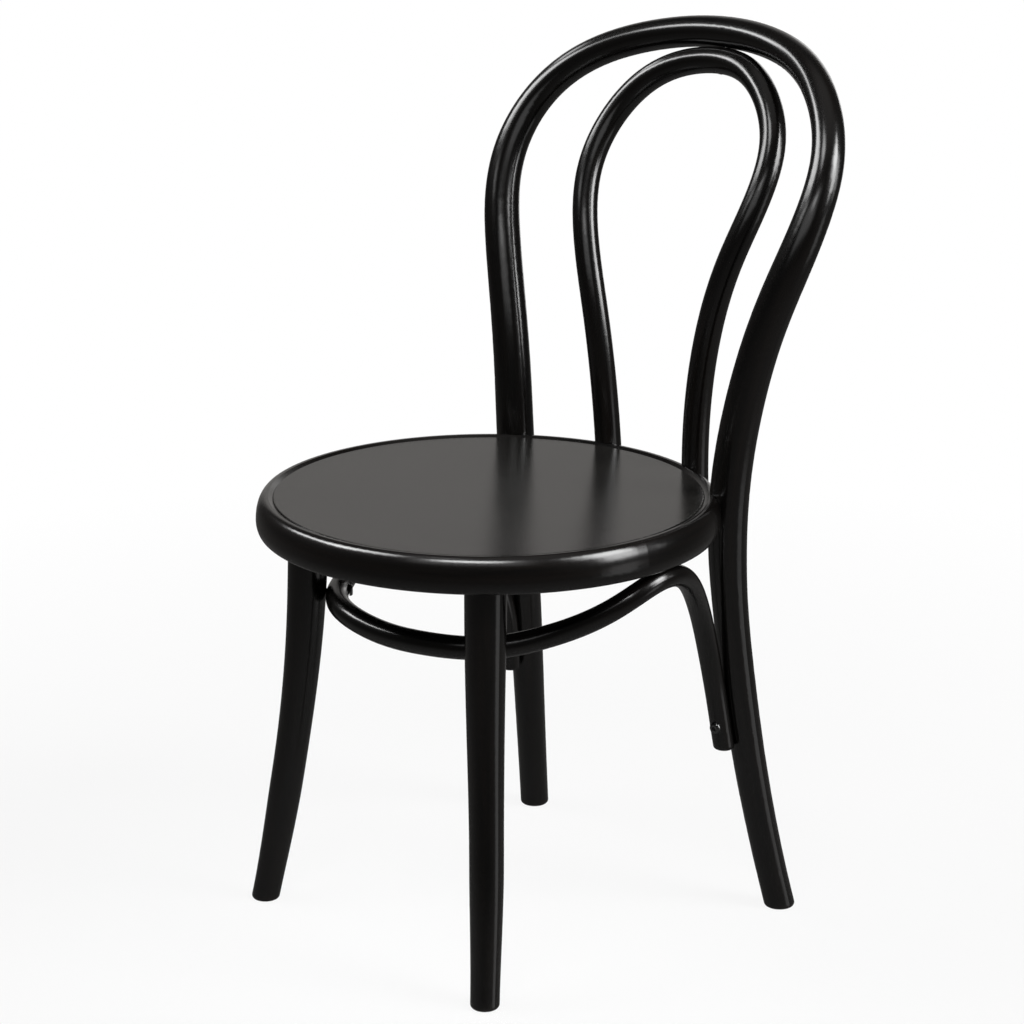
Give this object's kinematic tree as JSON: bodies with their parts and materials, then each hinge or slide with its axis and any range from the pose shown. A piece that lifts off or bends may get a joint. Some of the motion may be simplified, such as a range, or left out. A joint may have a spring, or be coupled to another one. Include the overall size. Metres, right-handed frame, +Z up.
{
  "type": "bentwood bistro chair",
  "caption": "Bentwood side chair with a round seat, a bent back hoop that runs down into the rear legs, a nested inner bow, splayed front legs and a horseshoe brace.",
  "frame": {"origin": "on the floor, under the middle of the chair's bounding box", "axes": "+Z up, -Y the way the chair faces, +X to the sitter's left"},
  "size_m": [0.4819, 0.5791, 0.8922],
  "materials": {
    "frame_lacquer": "black satin lacquer on steam-bent beech",
    "seat_board": "black satin lacquer on moulded plywood",
    "dark_steel": "blackened steel",
    "zinc_steel": "zinc-plated steel"
  },
  "bodies": {
    "root": {"back_hoop": "frame_lacquer", "inner_bow": "frame_lacquer", "seat_ring": "frame_lacquer", "seat_panel": "seat_board", "front_leg_left": "frame_lacquer", "front_leg_right": "frame_lacquer", "leg_brace": "frame_lacquer", "crown_screw": "dark_steel", "hoop_lag_screws": "zinc_steel", "hoop_washers": "zinc_steel", "inner_bow_lag_screws": "zinc_steel", "inner_bow_washers": "zinc_steel", "brace_end_screws": "dark_steel", "brace_leg_screws": "dark_steel", "brace_seat_screws": "dark_steel"}
  },
  "joints": []
}
